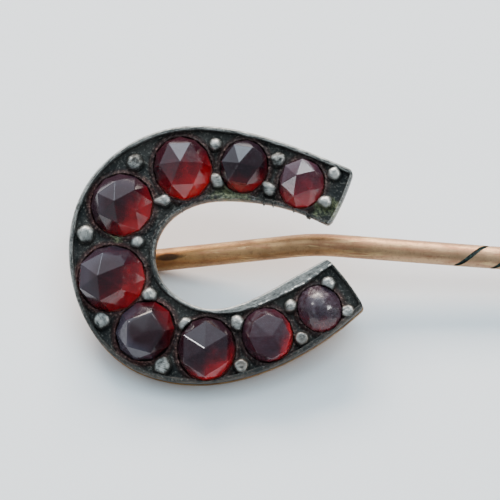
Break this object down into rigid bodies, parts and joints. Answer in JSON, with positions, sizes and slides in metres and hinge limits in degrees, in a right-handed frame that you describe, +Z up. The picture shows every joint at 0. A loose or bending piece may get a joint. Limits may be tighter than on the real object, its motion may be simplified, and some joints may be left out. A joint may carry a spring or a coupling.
{
  "type": "stick pin",
  "caption": "Stick pin with a horseshoe head: rose cut red stones gripped by grains in a blackened silver front, on a kinked rose gold stem with a spiral groove.",
  "frame": {"origin": "centre of the bounding box, on the surface the pin lies on", "axes": "+X along the pin from the head to the point, +Z up from the surface"},
  "size_m": [0.063, 0.0134, 0.0067],
  "materials": {
    "silver_setting": "blackened, worn silver with bright grains and rims",
    "gold_pin_and_back": "worn rose gold, green residue in the spiral groove",
    "garnet_1": "dark red rose cut garnet",
    "garnet_2": "dark red rose cut garnet",
    "garnet_3": "dark red rose cut garnet",
    "garnet_4": "dark red rose cut garnet",
    "garnet_5": "dark red rose cut garnet",
    "garnet_6": "dark red rose cut garnet",
    "garnet_7": "dark red rose cut garnet",
    "garnet_8": "dark red rose cut garnet",
    "garnet_9": "dark red rose cut garnet"
  },
  "bodies": {
    "root": {"silver_setting": "silver_setting", "gold_pin_and_back": "gold_pin_and_back", "garnet_1": "garnet_1", "garnet_2": "garnet_2", "garnet_3": "garnet_3", "garnet_4": "garnet_4", "garnet_5": "garnet_5", "garnet_6": "garnet_6", "garnet_7": "garnet_7", "garnet_8": "garnet_8", "garnet_9": "garnet_9"}
  },
  "joints": []
}
